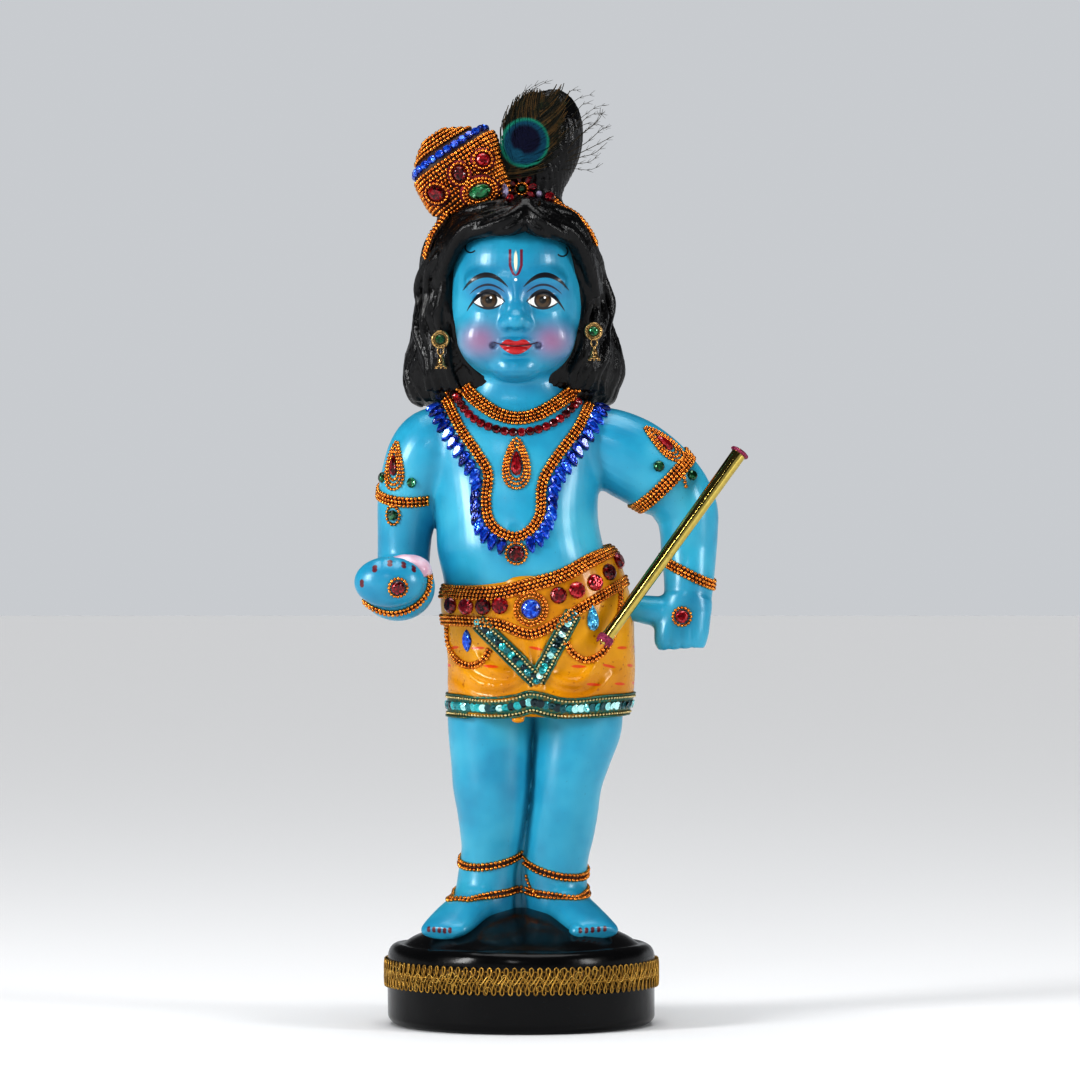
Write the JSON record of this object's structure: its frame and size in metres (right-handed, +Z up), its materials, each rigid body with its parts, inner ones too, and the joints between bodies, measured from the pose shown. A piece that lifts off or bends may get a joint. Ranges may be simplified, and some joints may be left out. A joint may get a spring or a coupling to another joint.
{
  "type": "laddu gopal idol",
  "caption": "Standing painted child-deity idol on a round base, with bead ornaments, a feathered turban and a flute.",
  "frame": {"origin": "centre of the round base's underside", "axes": "+Z up through the figure; the figure faces -Y; +X is the figure's left, the side of the flute"},
  "size_m": [0.1869, 0.1318, 0.449],
  "materials": {
    "painted_figure": "glossy enamel paint on papier-mache",
    "gold_beads": "gold-plated plastic bead chain",
    "red_stones": "foil-backed faceted acrylic",
    "blue_stones": "foil-backed faceted acrylic",
    "green_stones": "foil-backed faceted acrylic",
    "pale_blue_stones": "foil-backed faceted acrylic",
    "sequin_braid": "sequins between stitched cords",
    "gold_braid": "looped metallic yarn",
    "polished_brass": "polished",
    "sequin_collar": "magenta tape",
    "feather": "iridescent feather",
    "butter": "satin paint"
  },
  "bodies": {
    "root": {"figure": "painted_figure", "turban_winding": "gold_beads", "turban_blue_band": "blue_stones", "headband": "red_stones", "hair_strip_right": "gold_beads", "hair_strip_left": "gold_beads", "earring_right": "gold_beads", "earring_left": "gold_beads", "peacock_feather": "feather", "choker": "gold_beads", "choker_stones": "red_stones", "choker_pendant": "gold_beads", "necklace": "gold_beads", "necklace_stones_right": "blue_stones", "necklace_stones_left": "blue_stones", "necklace_pendant": "red_stones", "armlet_band_right": "gold_beads", "armlet_band_left": "gold_beads", "armlet_drop_right": "gold_beads", "armlet_drop_left": "gold_beads", "armlet_tail_right": "green_stones", "bracelet_right": "gold_beads", "bracelet_left": "gold_beads", "hand_medallion_right": "red_stones", "hand_medallion_left": "red_stones", "butter_ball": "butter", "belt_upper": "gold_beads", "belt_lower": "gold_beads", "belt_stones_right": "red_stones", "belt_stones_left": "red_stones", "belt_buckle": "blue_stones", "swag_right": "gold_beads", "swag_left": "gold_beads", "marquise_right": "pale_blue_stones", "marquise_left": "pale_blue_stones", "sash_braid": "sequin_braid", "hem_braid": "sequin_braid", "anklet_upper_right": "gold_beads", "anklet_upper_left": "gold_beads", "anklet_lower_right": "gold_beads", "anklet_lower_left": "gold_beads", "base_braid": "gold_braid", "flute": "polished_brass", "flute_collar_lower": "sequin_collar", "flute_collar_upper": "sequin_collar"}
  },
  "joints": []
}
